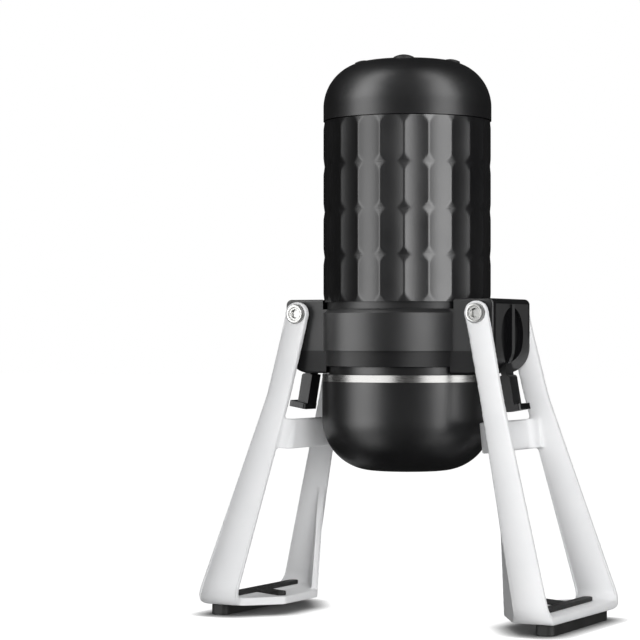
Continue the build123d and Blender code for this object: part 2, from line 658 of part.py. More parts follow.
def tongue_outline():
    """Plan of the base plate's tongue, from the rails' inner edges to the inner edge."""
    front, rear = -rail_side_foot[0], rail_side_foot[0] - RAIL_T
    rail_in = rail_inner_foot[0]
    face = make_face(Polyline(
        (foot_x, front), (rail_in, front), (tongue_x, -TONGUE_FRONT), (tongue_x, TONGUE_REAR),
        (rail_in, rear), (foot_x, rear), close=True))
    return fillet(face.vertices().group_by(Axis.X)[0], TONGUE_ROUND)


def heel_section(height, tip_x, tip_y):
    """Plan of the heel wall at a height: a strip from the front rail's inner edge to its tip."""
    rail_x = on_line(rail_inner_knee, rail_inner_foot, height)
    rail_y = -on_line(rail_side_knee, rail_side_foot, height)
    corner, tip = Vector(rail_x, rail_y), Vector(tip_x, tip_y)
    across = (tip - corner).normalized().rotate(Axis.Z, -90) * RAIL_T
    outline = Polyline(corner, tip, tip + across, corner + across, close=True)
    return Plane.XY.offset(height) * make_face(outline)


def heel_wall():
    """Wall bent in from the front rail's foot, which runs out along the tongue's edge."""
    top = HINGE_HEIGHT - HEEL_DROP
    rail_x = on_line(rail_inner_knee, rail_inner_foot, top)
    rail_y = RAIL_T - on_line(rail_side_knee, rail_side_foot, top)
    foot = heel_section(plate_bottom, tongue_x, -TONGUE_FRONT)
    return loft([foot, heel_section(top, rail_x, rail_y)], ruled=True)


def make_crossbar():
    """Channel between the rails: a web across, with its ends bent outwards along the rails."""
    half = rail_outer_y + KNEE_SPREAD + 1.0
    inner_x, outer_x = CROSSBAR_IN, CROSSBAR_IN + CROSSBAR_LIP
    outer = make_face(Polyline(
        (inner_x, -half), (outer_x, -half), (outer_x, half), (inner_x, half), close=True))
    outer = fillet(outer.vertices().group_by(Axis.X)[0], CROSSBAR_ROUND)
    hollow = make_face(Polyline(
        (inner_x + RAIL_T, RAIL_T - half), (outer_x + 1, RAIL_T - half), (outer_x + 1, half - RAIL_T),
        (inner_x + RAIL_T, half - RAIL_T), close=True))
    hollow = fillet(hollow.vertices().group_by(Axis.X)[0], CROSSBAR_ROUND - RAIL_T)
    web = extrude(outer - hollow, CROSSBAR_HEIGHT)
    foot = Pos(hinge_x + CROSSBAR_IN, 0, HINGE_HEIGHT - CROSSBAR_DROP - CROSSBAR_HEIGHT)
    return foot * Rot(0, -CROSSBAR_LEAN, 0) * Pos(-CROSSBAR_IN, 0, 0) * web


def make_leg():
    """U-shaped leg at +X: two rails, crossbar, base plate with its tongue, and screw holes."""
    band = end_band(0, plate_bottom, FOOT_ROUND) - end_band(RAIL_T, plate_top, FOOT_ROUND - RAIL_T)
    reach = rail_side_foot[0] + 1
    front, rear = side_profile(0, 0), side_profile(REAR_WIDER, REAR_WIDER_FOOT)
    leg = loft([Plane.XZ.offset(reach) * front, Plane.XZ.offset(-reach) * rear], ruled=True)
    leg &= extrude(Plane.YZ * band, 2 * HINGE_HEIGHT)
    outside = extrude(Plane.YZ * end_band(0, plate_bottom, FOOT_ROUND), 2 * HINGE_HEIGHT)
    leg += outside & (heel_wall() + Pos(0, 0, plate_bottom) * extrude(tongue_outline(), PLATE_T))
    leg += make_crossbar()
    shank = Rot(90, 0, 0) * Cylinder(SCREW_R, 4 * rail_outer_y)
    leg -= Pos(hinge_x, 0, HINGE_HEIGHT) * shank
    for side in (1, -1):
        sink = Rot(90, 0, 0) * Cylinder(SCREW_HEAD_R + SEAT, 2 * SCREW_SINK)
        leg -= Pos(hinge_x, side * rail_outer_y, HINGE_HEIGHT) * sink
    return leg


def make_axle():
    length = 2 * (rail_outer_y - RAIL_T)
    axle = Rot(90, 0, 0) * Cylinder(AXLE_R, length)
    axle -= Rot(90, 0, 0) * Cylinder(SCREW_R, length + 1)
    return Pos(hinge_x, 0, HINGE_HEIGHT) * axle


def make_screws():
    """One screw in each end of the axle, its socket head sunk into the rail."""
    head_in = rail_outer_y - SCREW_SINK
    depth = head_in - SCREW_LENGTH
    screw = Pos(0, 0, depth) * Cylinder(SCREW_R, SCREW_LENGTH, align=BOTTOM)
    head = Cylinder(SCREW_HEAD_R, SCREW_HEAD_T, align=BOTTOM)
    head = fillet(head.edges().group_by(Axis.Z)[-1], SCREW_HEAD_T * 0.3)
    screw += Pos(0, 0, head_in) * head
    socket = extrude(RegularPolygon(SCREW_SOCKET / 2, 6, major_radius=False), SCREW_HEAD_T)
    screw -= Pos(0, 0, head_in + SCREW_HEAD_T * 0.35) * socket
    return [Pos(hinge_x, 0, HINGE_HEIGHT) * Rot(turn, 0, 0) * screw for turn in (90, -90)]


def make_foot_rubber():
    """Rubber strip under the plate, along its outer edge."""
    length = 2 * (rail_side_foot[0] - FOOT_ROUND)
    strip = Box(RUBBER_WIDTH, length, RUBBER_T, align=(Align.MAX, Align.CENTER, Align.MIN))
    strip = fillet(strip.edges().filter_by(Axis.Z), RUBBER_ROUND)
    return Pos(rail_outer_foot[0] - TOE_ROUND, 0, 0) * strip


def make_grip_inlay():
    """Y-shaped rubber rib lying on the base plate."""
    centre = foot_x - INLAY_INSET
    half = rail_side_foot[0] - RAIL_T - FOOT_ROUND
    hub = Vector(centre, INLAY_FORK)
    tip = Vector(tongue_x + INLAY_WIDTH, TONGUE_REAR - INLAY_WIDTH)
    rib = Sketch()
    for end in (Vector(centre, half), Vector(centre, -half), tip):
        run = end - hub
        middle = (end + hub) * 0.5
        turn = degrees(atan2(run.Y, run.X))
        rib += Pos(middle.X, middle.Y) * Rot(0, 0, turn) * SlotCenterToCenter(run.length, INLAY_WIDTH)
    return Pos(0, 0, plate_top) * extrude(rib, INLAY_HEIGHT)


# ---------------------------------------------------------------- every piece, one file each
def all_pieces():
    pieces = {
        "base_frame": make_base_frame(),
        "shower_screen": make_shower_screen(),
        "group_gasket": make_group_gasket(),
        "tank_seal": make_tank_seal(),
        "water_tank": make_tank(),
        "grip_sleeve": make_sleeve(),
        "pump_barrel": make_barrel(),
        "rod_gland": make_gland(),
        "inlet_valve": make_inlet_valve(),
        "outlet_ball": make_outlet_ball(),
        "outlet_spring": make_outlet_spring(),
        "outlet_plug": tube(OUTLET_BORE_R - RUN, PLUG_BORE_R, outlet_foot, outlet_foot + PLUG_HEIGHT),
        "pump_cap": make_cap(),
        "cap_feet": make_cap_feet(),
        "pump_rod": tube(ROD_R, 0, rod_foot, rod_top),
        "pump_piston": make_piston(),
        "piston_seal": make_piston_seal(),
        "portafilter": make_portafilter(),
        "filter_basket": make_basket(),
        "cup_ring": make_cup_ring(),
        "cup_shell": make_cup_shell(),
        "cup_liner": make_cup_liner(),
    }
    pins = both_sides(from_hinge(latch_pin(), LATCH_LEAN))
    pieces["latch_pins"] = list(pins.values())
    sided = {
        "leg": make_leg(),
        "hinge_axle": make_axle(),
        "end_cover": make_end_cover(),
        "latch": make_latch(),
        "latch_spring": make_latch_spring(),
        "grip_inlay": make_grip_inlay(),
        "foot_rubber": make_foot_rubber(),
    }
    for name, piece in sided.items():
        for side, placed in both_sides(piece).items():
            pieces[name + "_" + side] = placed
    for side, turn in (("right", 0), ("left", 180)):
        pieces["pivot_screws_" + side] = [Rot(0, 0, turn) * screw for screw in make_screws()]
    return pieces


os.makedirs("parts", exist_ok=True)
for node, shape in all_pieces().items():
    if isinstance(shape, list):
        shape = Compound(children=[Part(piece.wrapped) for piece in shape])
    export_step(shape, "parts/" + node + ".step")
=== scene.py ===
import json
import math

import bmesh
import bpy
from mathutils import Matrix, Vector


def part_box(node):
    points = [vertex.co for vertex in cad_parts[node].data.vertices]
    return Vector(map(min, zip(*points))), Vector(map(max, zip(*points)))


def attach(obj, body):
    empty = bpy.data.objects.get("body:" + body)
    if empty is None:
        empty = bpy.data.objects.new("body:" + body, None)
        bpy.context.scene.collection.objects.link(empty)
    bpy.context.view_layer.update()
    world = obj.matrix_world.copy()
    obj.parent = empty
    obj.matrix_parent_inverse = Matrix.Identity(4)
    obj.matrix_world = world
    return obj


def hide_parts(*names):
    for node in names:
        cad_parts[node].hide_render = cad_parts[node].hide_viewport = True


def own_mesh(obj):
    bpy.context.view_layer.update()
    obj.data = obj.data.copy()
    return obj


# Looks of the hand-pumped espresso maker: finishes, finer shapes, stage, light and camera.
# Lengths are in metres, except where a comment gives another unit.

SIDES = ("left", "right")

# ---------------------------------------------------------------- camera
VIEW_AZIMUTH = 28.0        # degrees, camera round the object from -Y
CAMERA_DISTANCE = 1.050
CAMERA_LEFT = 0.041        # camera's own shift to its left
CAMERA_HEIGHT = 0.1302
CAMERA_LENS = 125.8        # mm, on a sensor of CAMERA_SENSOR mm
CAMERA_SENSOR = 36.0
HORIZON_SHIFT = 0.0305     # share of the sensor's width

# ---------------------------------------------------------------- floor and room
FLOOR_SIZE = 12.0
FLOOR_ROUGHNESS = 0.9
FLOOR_GLOW = 1.0           # glow and grey of the floor as the camera sees it
FLOOR_GREY = 0.15
FLOOR_LIFT = 0.28          # glow and grey of the same floor as the object's surfaces see it
FLOOR_BOUNCE = 0.45
# painted contact shadow: the floor's glow darkens round the feet
CONTACT_REACH = 0.010      # how far the dark line round a foot reaches, and how it falls off
CONTACT_FALL = 2.8
CONTACT_SAMPLES = 16
BACKDROP_GLOW = 1.0
ROOM_DIFFUSE = 0.06        # light of the room on matt surfaces
ROOM_GLOSSY = 0.035        # and in reflections

# ---------------------------------------------------------------- cast legs and rubber
CAST_VOXEL = 0.0005        # mesh size and smoothing rounds that soften the edges
CAST_ROUNDS = 14
RUBBER_VOXEL = 0.0003
RUBBER_ROUNDS = 8
SMOOTH_STEP = 0.5          # how far a point moves towards its neighbours in a round
CROWN_SHAPE = 12.0         # how the cast rails bulge in the mesh: 1 / m
CROWN_BUMP = 18.0          # and how much more they seem to
CROWN_HALF = 0.0105        # half the width that bulges
RAIL_MIDDLE_AT_FLOOR = 0.0824
RAIL_SLOPE = -0.268        # how the rails' middle moves in with height
LEGS = tuple("leg_" + side for side in SIDES)
RUBBER_PIECES = tuple(kind + side for kind in ("grip_inlay_", "foot_rubber_") for side in SIDES)

# ---------------------------------------------------------------- finishes
BLACK_TONES = ((0.0045, 0.0045, 0.005), (0.0065, 0.0065, 0.007))
SLEEVE_TONES = ((0.0050, 0.0050, 0.0055), (0.007, 0.007, 0.0075))
PALE_TONES = ((0.72, 0.72, 0.71), (0.78, 0.78, 0.77))
RUBBER_TONES = ((0.012, 0.012, 0.012), (0.020, 0.020, 0.020))
PAINT_TONES = ((0.80, 0.805, 0.815), (0.835, 0.838, 0.845))
TONE_RAMP = (0.35, 0.65)   # noise values between which one tone turns into the other
MOULDED_DRIFT = (-0.03, 0.04)      # how far a finish's roughness drifts from its middle
PAINT_ROUGHNESS = (0.36, 0.44)
PAINT_COAT_WEIGHT = 0.15
PAINT_COAT_ROUGHNESS = 0.25
STEEL_TONE = (0.34, 0.337, 0.33)
STEEL_SHADE = 0.93         # darkest tone of the turning lines, as a share of the tone
STEEL_DRIFT = (-0.05, 0.07)
BRIGHT_TONE = (0.50, 0.50, 0.49)
BRIGHT_SHADE = 0.92
BRIGHT_DRIFT = (-0.05, 0.08)
# noise scales in 1 / m, and relief depths
TONE_PATCHES = 60.0
FINISH_PATCHES = 35.0
GRAIN = 2600.0
GRAIN_DEPTH = 0.00001
RUBBER_GRAIN_DEPTH = 0.00002
PAINT_TONE_PATCHES = 40.0
PAINT_FINISH_PATCHES = 30.0
PEEL = 420.0
PEEL_DEPTH = 0.00002
TURNING_LINES = 5200.0
TURNING_STRETCH = 0.02     # lines run round the axis, so noise hardly changes across it
TURNING_DEPTH = 0.000012
SCUFFS = 900.0
SCUFF_DEPTH = 0.000008

# below COLLAR_TOP the frame's reflections are dimmed: partly the collar's own duller finish, partly
# painted shade under the ring
COLLAR_TOP = 0.125         # foot of the frame's ring, where its plain collar starts
COLLAR_DULL_AND_SHADE_TINT = 0.42
COVERS = tuple("end_cover_" + side for side in SIDES)
# the end covers' pockets get painted shade: their reflections are held dark up to POCKET_REACH and
# rise to full at RIB_REACH
POCKET_REACH = 0.0535      # out from the axis: up to it the end covers stay dark
RIB_REACH = 0.0538         # and from here on they reflect in full
POCKET_SHADE_TINT = 0.0

# ---------------------------------------------------------------- pivot screws
SCREW_SHARP = 35           # degrees between faces that leave a sharp edge
SCREW_STEPS = 48
# from the socket's floor to the shank's end: radius, depth under the head's face, six-sided
SCREW_PROFILE = (
    (0.0019, 0.0016, True), (0.0020, 0.0004, True), (0.0022, 0.0002, False),
    (0.0027, 0.0002, False), (0.0029, 0.0005, False), (0.0031, 0.0005, False),
    (0.0033, 0.00005, False), (0.0038, 0.0, False), (0.0041, 0.0001, False),
    (0.0043, 0.0004, False), (0.0043, 0.0024, False), (0.0025, 0.0024, False),
    (0.0025, 0.012, False),
)

# ---------------------------------------------------------------- grip sleeve
SLEEVE_SHARP = 50          # degrees between faces that leave a sharp edge
SLEEVE_R = 0.0395
SLEEVE_WALL = 0.0029
FLUTES = 22
FLUTE_TURN = -58.1         # degrees about Z of the middle of one flute
FLUTE_DEPTH = 0.00085
FLUTE_ROWS = 4
GROOVE_DEPTH = 0.00066     # ring grooves between the rows and at both ends
GROOVE_HALF = 0.0038
EDGE_SOFTNESS = 0.00012    # how far two surfaces or tones blend where they meet
FLUTE_STEPS = 20           # mesh steps across a flute and along a row
ROW_STEPS = 36

# ---------------------------------------------------------------- light
PANEL_DISTANCE = 1.2
# panels that only show as reflections, in four groups that each light their own pieces:
# turn from the camera in degrees, width, and radiance of the left and the right one
REFLECTED_PANELS = {
    "body": ((-62.0, 0.80, 6.3), (49.0, 0.70, 6.0)),
    "sleeve": ((-53.0, 0.62, 7.0), (35.0, 0.86, 9.2)),
    "steel": ((-55.0, 1.60, 2.8), (48.0, 1.40, 2.9)),
    "frame": ((-80.0, 1.10, 4.8), (17.0, 0.72, 6.2)),
}
# each panel is stacked from lengths: foot, top, share of its radiance and of its turn
PANEL_LENGTHS = {
    "low": (-1.4, -0.15, 0.35, 1.0),
    "cup": (-0.15, 0.22, 1.2, 1.0),
    "middle": (0.22, 0.50, 0.60, 1.0),
    "high": (0.50, 1.3, 1.1, 1.04),
    "top": (1.3, 3.8, 1.0, 1.18),
}
SLEEVE_PIECES = ("fluted_sleeve",)
STEEL_PIECES = ("cup_liner",)
FRAME_PIECES = ("base_frame",) + tuple(
    kind + side for kind in ("end_cover_", "latch_", "screw_heads_") for side in SIDES)
# turn, width, foot, top and radiance of the panels that stand alone
COVER_PANEL = (124.0, 0.9, -0.4, 0.9, 0.42)    # only shows in the end covers
KEY_PANEL = (12.0, 0.7, -0.2, 0.9, 6.9)        # only lights matt surfaces, as the top panel does
TOP_PANEL_HEIGHT = 1.4
TOP_PANEL_SIZE = 1.6
TOP_PANEL_RADIANCE = 1.5


# ---------------------------------------------------------------- material helpers
def new_material(name):
    material = bpy.data.materials.new(name)
    material.use_nodes = True
    nodes, links = material.node_tree.nodes, material.node_tree.links
    return material, nodes, links, nodes["Principled BSDF"]


def coordinates(nodes, links, stretch=(1, 1, 1)):
    """Object coordinates in metres, stretched for grain that runs one way."""
    place = nodes.new("ShaderNodeTexCoord")
    mapping = nodes.new("ShaderNodeMapping")
    mapping.inputs["Scale"].default_value = stretch
    links.new(place.outputs["Object"], mapping.inputs["Vector"])
    return mapping.outputs["Vector"]


def noise(nodes, links, vector, scale, detail=3.0, roughness=0.5):
    texture = nodes.new("ShaderNodeTexNoise")
    texture.inputs["Scale"].default_value = scale
    texture.inputs["Detail"].default_value = detail
    texture.inputs["Roughness"].default_value = roughness
    links.new(vector, texture.inputs["Vector"])
    return texture.outputs["Fac"]


def remap(nodes, links, value, low, high, start=0.3, end=0.7):
    """Spreads a value from start to end over low to high; noise lies mostly between 0.3 and 0.7."""
    spread = nodes.new("ShaderNodeMapRange")
    spread.inputs["From Min"].default_value = start
    spread.inputs["From Max"].default_value = end
    spread.inputs["To Min"].default_value = low
    spread.inputs["To Max"].default_value = high
    links.new(value, spread.inputs["Value"])
    return spread.outputs["Result"]


def calculate(nodes, links, operation, *values):
    """One math node; each value is a number or another node's output."""
    step = nodes.new("ShaderNodeMath")
    step.operation = operation
    for value, socket in zip(values, step.inputs):
        if isinstance(value, (int, float)):
            socket.default_value = value
        else:
            links.new(value, socket)
    return step.outputs["Value"]


def axes(nodes, links, vector):
    """The X, Y and Z of a vector, as outputs."""
    split = nodes.new("ShaderNodeSeparateXYZ")
    links.new(vector, split.inputs["Vector"])
    return split.outputs


def bump(nodes, links, bsdf, height, depth):
    relief = nodes.new("ShaderNodeBump")
    relief.inputs["Distance"].default_value = depth
    relief.inputs["Strength"].default_value = 1.0
    links.new(height, relief.inputs["Height"])
    links.new(relief.outputs["Normal"], bsdf.inputs["Normal"])
    return relief


def two_tone(nodes, links, bsdf, value, dark, light):
    """Base colour that drifts between two close tones."""
    ramp = nodes.new("ShaderNodeValToRGB")
    for stop, position, tone in zip(ramp.color_ramp.elements, TONE_RAMP, (dark, light)):
        stop.position = position
        stop.color = (*tone, 1)
    links.new(value, ramp.inputs["Fac"])
    links.new(ramp.outputs["Color"], bsdf.inputs["Base Color"])


def moulded(name, tones, rough, grain_depth=GRAIN_DEPTH, specular=0.5):
    """Moulded plastic: fine spark-eroded grain, and a finish that drifts a little."""
    material, nodes, links, bsdf = new_material(name)
    place = coordinates(nodes, links)
    two_tone(nodes, links, bsdf, noise(nodes, links, place, TONE_PATCHES), *tones)
    drift = noise(nodes, links, place, FINISH_PATCHES, detail=2.0)
    finish = remap(nodes, links, drift, *(rough + step for step in MOULDED_DRIFT))
    links.new(finish, bsdf.inputs["Roughness"])
    bsdf.inputs["Specular IOR Level"].default_value = specular
    bump(nodes, links, bsdf, noise(nodes, links, place, GRAIN, detail=2.0), grain_depth)
    return material


def rail_crown(nodes, links, place, crown):
    """Height of the rails' faces over the flat: highest along the middle of each rail."""
    at = axes(nodes, links, place)
    out = calculate(nodes, links, "ABSOLUTE", at["X"])
    middle = calculate(nodes, links, "MULTIPLY_ADD", at["Z"], RAIL_SLOPE, RAIL_MIDDLE_AT_FLOOR)
    off = calculate(nodes, links, "ABSOLUTE", calculate(nodes, links, "SUBTRACT", out, middle))
    near = calculate(nodes, links, "MINIMUM", off, CROWN_HALF)
    square = calculate(nodes, links, "MULTIPLY", near, near)
    return calculate(nodes, links, "MULTIPLY", square, -crown)


def painted(name):
    """Satin white coat with a faint orange peel, and the rest of the rails' crown."""
    material, nodes, links, bsdf = new_material(name)
    place = coordinates(nodes, links)
    two_tone(nodes, links, bsdf, noise(nodes, links, place, PAINT_TONE_PATCHES), *PAINT_TONES)
    drift = noise(nodes, links, place, PAINT_FINISH_PATCHES, detail=2.0)
    links.new(remap(nodes, links, drift, *PAINT_ROUGHNESS), bsdf.inputs["Roughness"])
    bsdf.inputs["Coat Weight"].default_value = PAINT_COAT_WEIGHT
    bsdf.inputs["Coat Roughness"].default_value = PAINT_COAT_ROUGHNESS
    relief = bump(nodes, links, bsdf, noise(nodes, links, place, PEEL, detail=2.0), PEEL_DEPTH)
    crowned = nodes.new("ShaderNodeBump")
    crowned.inputs["Distance"].default_value = 1.0
    links.new(rail_crown(nodes, links, place, CROWN_BUMP), crowned.inputs["Height"])
    links.new(crowned.outputs["Normal"], relief.inputs["Normal"])
    return material


def turned_steel(name, tone, rough):
    """Stainless steel with fine turning lines round the Z axis."""
    material, nodes, links, bsdf = new_material(name)
    place = coordinates(nodes, links, (TURNING_STRETCH, TURNING_STRETCH, 1))
    lines = noise(nodes, links, place, TURNING_LINES, detail=4.0, roughness=0.7)
    two_tone(nodes, links, bsdf, lines, tuple(part * STEEL_SHADE for part in tone), tone)
    finish = remap(nodes, links, lines, *(rough + step for step in STEEL_DRIFT))
    links.new(finish, bsdf.inputs["Roughness"])
    bsdf.inputs["Metallic"].default_value = 1.0
    bump(nodes, links, bsdf, lines, TURNING_DEPTH)
    return material


def bright_steel(name, tone, rough):
    """Polished steel of screws, pins and springs, with faint scuffs."""
    material, nodes, links, bsdf = new_material(name)
    place = coordinates(nodes, links)
    scuffs = noise(nodes, links, place, SCUFFS, detail=4.0, roughness=0.65)
    two_tone(nodes, links, bsdf, scuffs, tuple(part * BRIGHT_SHADE for part in tone), tone)
    finish = remap(nodes, links, scuffs, *(rough + step for step in BRIGHT_DRIFT))
    links.new(finish, bsdf.inputs["Roughness"])
    bsdf.inputs["Metallic"].default_value = 1.0
    bump(nodes, links, bsdf, scuffs, SCUFF_DEPTH)
    return material


def dimmed(material, axis, tint, start, end):
    """Dims a piece's reflections up to start along an axis, either way; past end they are full. The
    dimming paints shade into the reflections by place.
    """
    nodes, links = material.node_tree.nodes, material.node_tree.links
    out = calculate(nodes, links, "ABSOLUTE", axes(nodes, links, coordinates(nodes, links))[axis])
    shade = remap(nodes, links, out, tint, 1.0, start, end)
    links.new(shade, nodes["Principled BSDF"].inputs["Specular Tint"])
    return material


MATERIALS = {
    "satin_black": moulded("satin_black", BLACK_TONES, rough=0.38),
    "sleeve_black": moulded("sleeve_black", SLEEVE_TONES, rough=0.34),
    # frame: the collar's reflections are dimmed, partly its own duller finish and partly painted
    # shade
    "frame_black": dimmed(
        moulded("frame_black", BLACK_TONES, rough=0.42),
        "Z", COLLAR_DULL_AND_SHADE_TINT, COLLAR_TOP - EDGE_SOFTNESS, COLLAR_TOP + EDGE_SOFTNESS),
    # end covers: reflections held dark in the pockets, a painted shade
    "cover_black": dimmed(
        moulded("cover_black", BLACK_TONES, rough=0.38),
        "X", POCKET_SHADE_TINT, POCKET_REACH, RIB_REACH),
    "tank_black": moulded("tank_black", BLACK_TONES, rough=0.45),
    "pale_plastic": moulded("pale_plastic", PALE_TONES, rough=0.42),
    "white_paint": painted("white_paint"),
    "steel": turned_steel("steel", STEEL_TONE, rough=0.28),
    "bright_steel": bright_steel("bright_steel", BRIGHT_TONE, rough=0.34),
    "black_rubber": moulded(
        "black_rubber", RUBBER_TONES, rough=0.62, grain_depth=RUBBER_GRAIN_DEPTH, specular=0.35),
}


# ---------------------------------------------------------------- finer shapes
def soften_edges(node, voxel, rounds):
    """Rounds every edge of a cast or rubber piece by a little more than the voxel size."""
    remesh = node.modifiers.new("skin", "REMESH")
    remesh.mode = "VOXEL"
    remesh.voxel_size = voxel
    remesh.use_smooth_shade = True
    smooth = node.modifiers.new("soften", "SMOOTH")
    smooth.factor = SMOOTH_STEP
    smooth.iterations = rounds


def crown_rails(node):
    """Bulges the front and rear faces of a leg's rails: their edges sink, their middle stays."""
    group = bpy.data.node_groups.new("crown", "GeometryNodeTree")
    for way in ("INPUT", "OUTPUT"):
        group.interface.new_socket("Geometry", in_out=way, socket_type="NodeSocketGeometry")
    nodes, links = group.nodes, group.links
    start, end = nodes.new("NodeGroupInput"), nodes.new("NodeGroupOutput")
    position = nodes.new("GeometryNodeInputPosition").outputs["Position"]
    height = rail_crown(nodes, links, position, CROWN_SHAPE)
    normal = nodes.new("GeometryNodeInputNormal").outputs["Normal"]
    sideways = axes(nodes, links, normal)["Y"]
    facing = calculate(nodes, links, "MULTIPLY", sideways, sideways)
    offset = nodes.new("ShaderNodeVectorMath")
    offset.operation = "SCALE"
    links.new(normal, offset.inputs["Vector"])
    links.new(calculate(nodes, links, "MULTIPLY", height, facing), offset.inputs["Scale"])
    place = nodes.new("GeometryNodeSetPosition")
    links.new(start.outputs["Geometry"], place.inputs["Geometry"])
    links.new(offset.outputs["Vector"], place.inputs["Offset"])
    links.new(place.outputs["Geometry"], end.inputs["Geometry"])
    node.modifiers.new("crown", "NODES").node_group = group


def press_spring(side):
    """Gives a latch's spring a mesh of its own."""
    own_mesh(frame["nodes"]["latch_spring_" + side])


def soft_min(a, b, softness):
    """Smaller of two values, rounded where they cross."""
    blend = max(softness - abs(a - b), 0.0) / softness
    return min(a, b) - blend * blend * softness / 4


def sleeve_radius(across, along, row_height):
    """Radius of the sleeve; across runs 0 to 1 over a flute, along 0 to 1 over a row."""
    flute = SLEEVE_R - FLUTE_DEPTH * (1 - (2 * across - 1) ** 2)
    to_groove = min(along, 1 - along) * row_height / GROOVE_HALF
    groove = SLEEVE_R - GROOVE_DEPTH * max(1 - to_groove, 0)
    return soft_min(flute, groove, EDGE_SOFTNESS)


def fluted_sleeve():
    """Moulded sleeve: hollow flutes round it, and ring grooves that cut their ridges."""
    low, high = (corner[2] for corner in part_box("grip_sleeve"))
    around, up = FLUTES * FLUTE_STEPS, FLUTE_ROWS * ROW_STEPS
    flute_turn = 2 * math.pi / FLUTES
    turns = [math.radians(FLUTE_TURN) + (i / FLUTE_STEPS - 0.5) * flute_turn for i in range(around)]
    mesh = bmesh.new()
    rings = []

    def add_ring(radii, z):
        places = [(r * math.cos(turn), r * math.sin(turn), z) for r, turn in zip(radii, turns)]
        rings.append([mesh.verts.new(place) for place in places])

    across = [(i % FLUTE_STEPS) / FLUTE_STEPS for i in range(around)]
    for j in range(up + 1):
        along = (j % ROW_STEPS) / ROW_STEPS
        radii = [sleeve_radius(share, along, (high - low) / FLUTE_ROWS) for share in across]
        add_ring(radii, low + (high - low) * j / up)
    for z in (high, low):
        add_ring([SLEEVE_R - SLEEVE_WALL] * around, z)
    for lower, upper in zip(rings, rings[1:] + rings[:1]):
        for i in range(around):
            k = (i + 1) % around
            mesh.faces.new((lower[i], lower[k], upper[k], upper[i]))
    return finish_piece(mesh, "fluted_sleeve", SLEEVE_SHARP, "sleeve_black", "grip_sleeve", "upper")


def hex_reach(turn):
    """How far the hex socket's wall is from its middle, for flats 2 units apart."""
    sixth = math.pi / 3
    return 1 / math.cos((turn + sixth / 2) % sixth - sixth / 2)


def screw_heads(side):
    """Two pivot screws of a leg: rounded rim, ring groove, and a hex socket, on their shanks."""
    low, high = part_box("pivot_screws_" + side)
    middle_x, middle_z = (low[0] + high[0]) / 2, (low[2] + high[2]) / 2
    mesh = bmesh.new()
    for end, sign in ((low[1], 1), (high[1], -1)):
        rings = []
        for radius, depth, six_sided in SCREW_PROFILE:
            ring = []
            for i in range(SCREW_STEPS):
                turn = 2 * math.pi * i / SCREW_STEPS
                reach = radius * (hex_reach(turn) if six_sided else 1)
                x, z = middle_x + reach * math.cos(turn), middle_z + reach * math.sin(turn)
                ring.append(mesh.verts.new((x, end + sign * depth, z)))
            rings.append(ring)
        for inner, outer in zip(rings, rings[1:]):
            for i in range(SCREW_STEPS):
                j = (i + 1) % SCREW_STEPS
                mesh.faces.new((inner[i], inner[j], outer[j], outer[i]))
        mesh.faces.new(rings[0])
        mesh.faces.new(rings[-1])
    bmesh.ops.recalc_face_normals(mesh, faces=mesh.faces)
    body = "leg_%s_body" % side
    return finish_piece(
        mesh, "screw_heads_" + side, SCREW_SHARP, "bright_steel", "pivot_screws_" + side, body)


def finish_piece(mesh, name, sharp, slot, node, body):
    """Makes the object of a finished mesh, which stands for a CAD node and rides on a body."""
    data = bpy.data.meshes.new(name)
    for face in mesh.faces:
        face.smooth = True
    mesh.to_mesh(data)
    mesh.free()
    data.set_sharp_from_angle(angle=math.radians(sharp))
    data.materials.append(MATERIALS[slot])
    piece = bpy.data.objects.new(name, data)
    bpy.context.scene.collection.objects.link(piece)
    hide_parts(node)
    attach(piece, body)
    return piece


def dress(frame):
    """Gives each CAD node the material of its slot in the record, or its own variant of it."""
    for part in frame["record"]["subparts"]:
        mesh = frame["nodes"][part["node"]].data
        mesh.materials.clear()
        mesh.materials.append(MATERIALS[part["material_slot"]])
    frame["nodes"]["base_frame"].data.materials[0] = MATERIALS["frame_black"]
    for cover in COVERS:
        frame["nodes"][cover].data.materials[0] = MATERIALS["cover_black"]


# ---------------------------------------------------------------- stage, light and camera
def direction(azimuth):
    """Unit vector from the object towards a place round it; 0 is towards -Y."""
    turn = math.radians(azimuth)
    return math.sin(turn), -math.cos(turn)


def add_floor():
    """White floor that glows by itself; its glow darkens only where something nearly touches it, a
    painted contact shadow.
    """
    bpy.ops.mesh.primitive_plane_add(size=FLOOR_SIZE)
    floor = bpy.context.object
    floor.name = "floor"
    material, nodes, links, bsdf = new_material("floor_white")
    seen = nodes.new("ShaderNodeLightPath").outputs["Is Camera Ray"]
    grey = remap(nodes, links, seen, FLOOR_BOUNCE, FLOOR_GREY, start=0, end=1)
    links.new(grey, bsdf.inputs["Base Color"])
    bsdf.inputs["Roughness"].default_value = FLOOR_ROUGHNESS
    bsdf.inputs["Specular IOR Level"].default_value = 0.0
    bsdf.inputs["Emission Color"].default_value = (1, 1, 1, 1)
    # painted contact shadow: ambient occlusion darkens the floor's glow near the feet
    contact = nodes.new("ShaderNodeAmbientOcclusion")
    contact.inputs["Distance"].default_value = CONTACT_REACH
    contact.samples = CONTACT_SAMPLES
    open_share = calculate(nodes, links, "POWER", contact.outputs["AO"], CONTACT_FALL)
    glow = calculate(nodes, links, "MULTIPLY", open_share, FLOOR_GLOW)
    extra = calculate(nodes, links, "SUBTRACT", glow, FLOOR_LIFT)
    shown = calculate(nodes, links, "MULTIPLY_ADD", seen, extra, FLOOR_LIFT)
    links.new(shown, bsdf.inputs["Emission Strength"])
    floor.data.materials.append(material)
    floor.visible_glossy = False


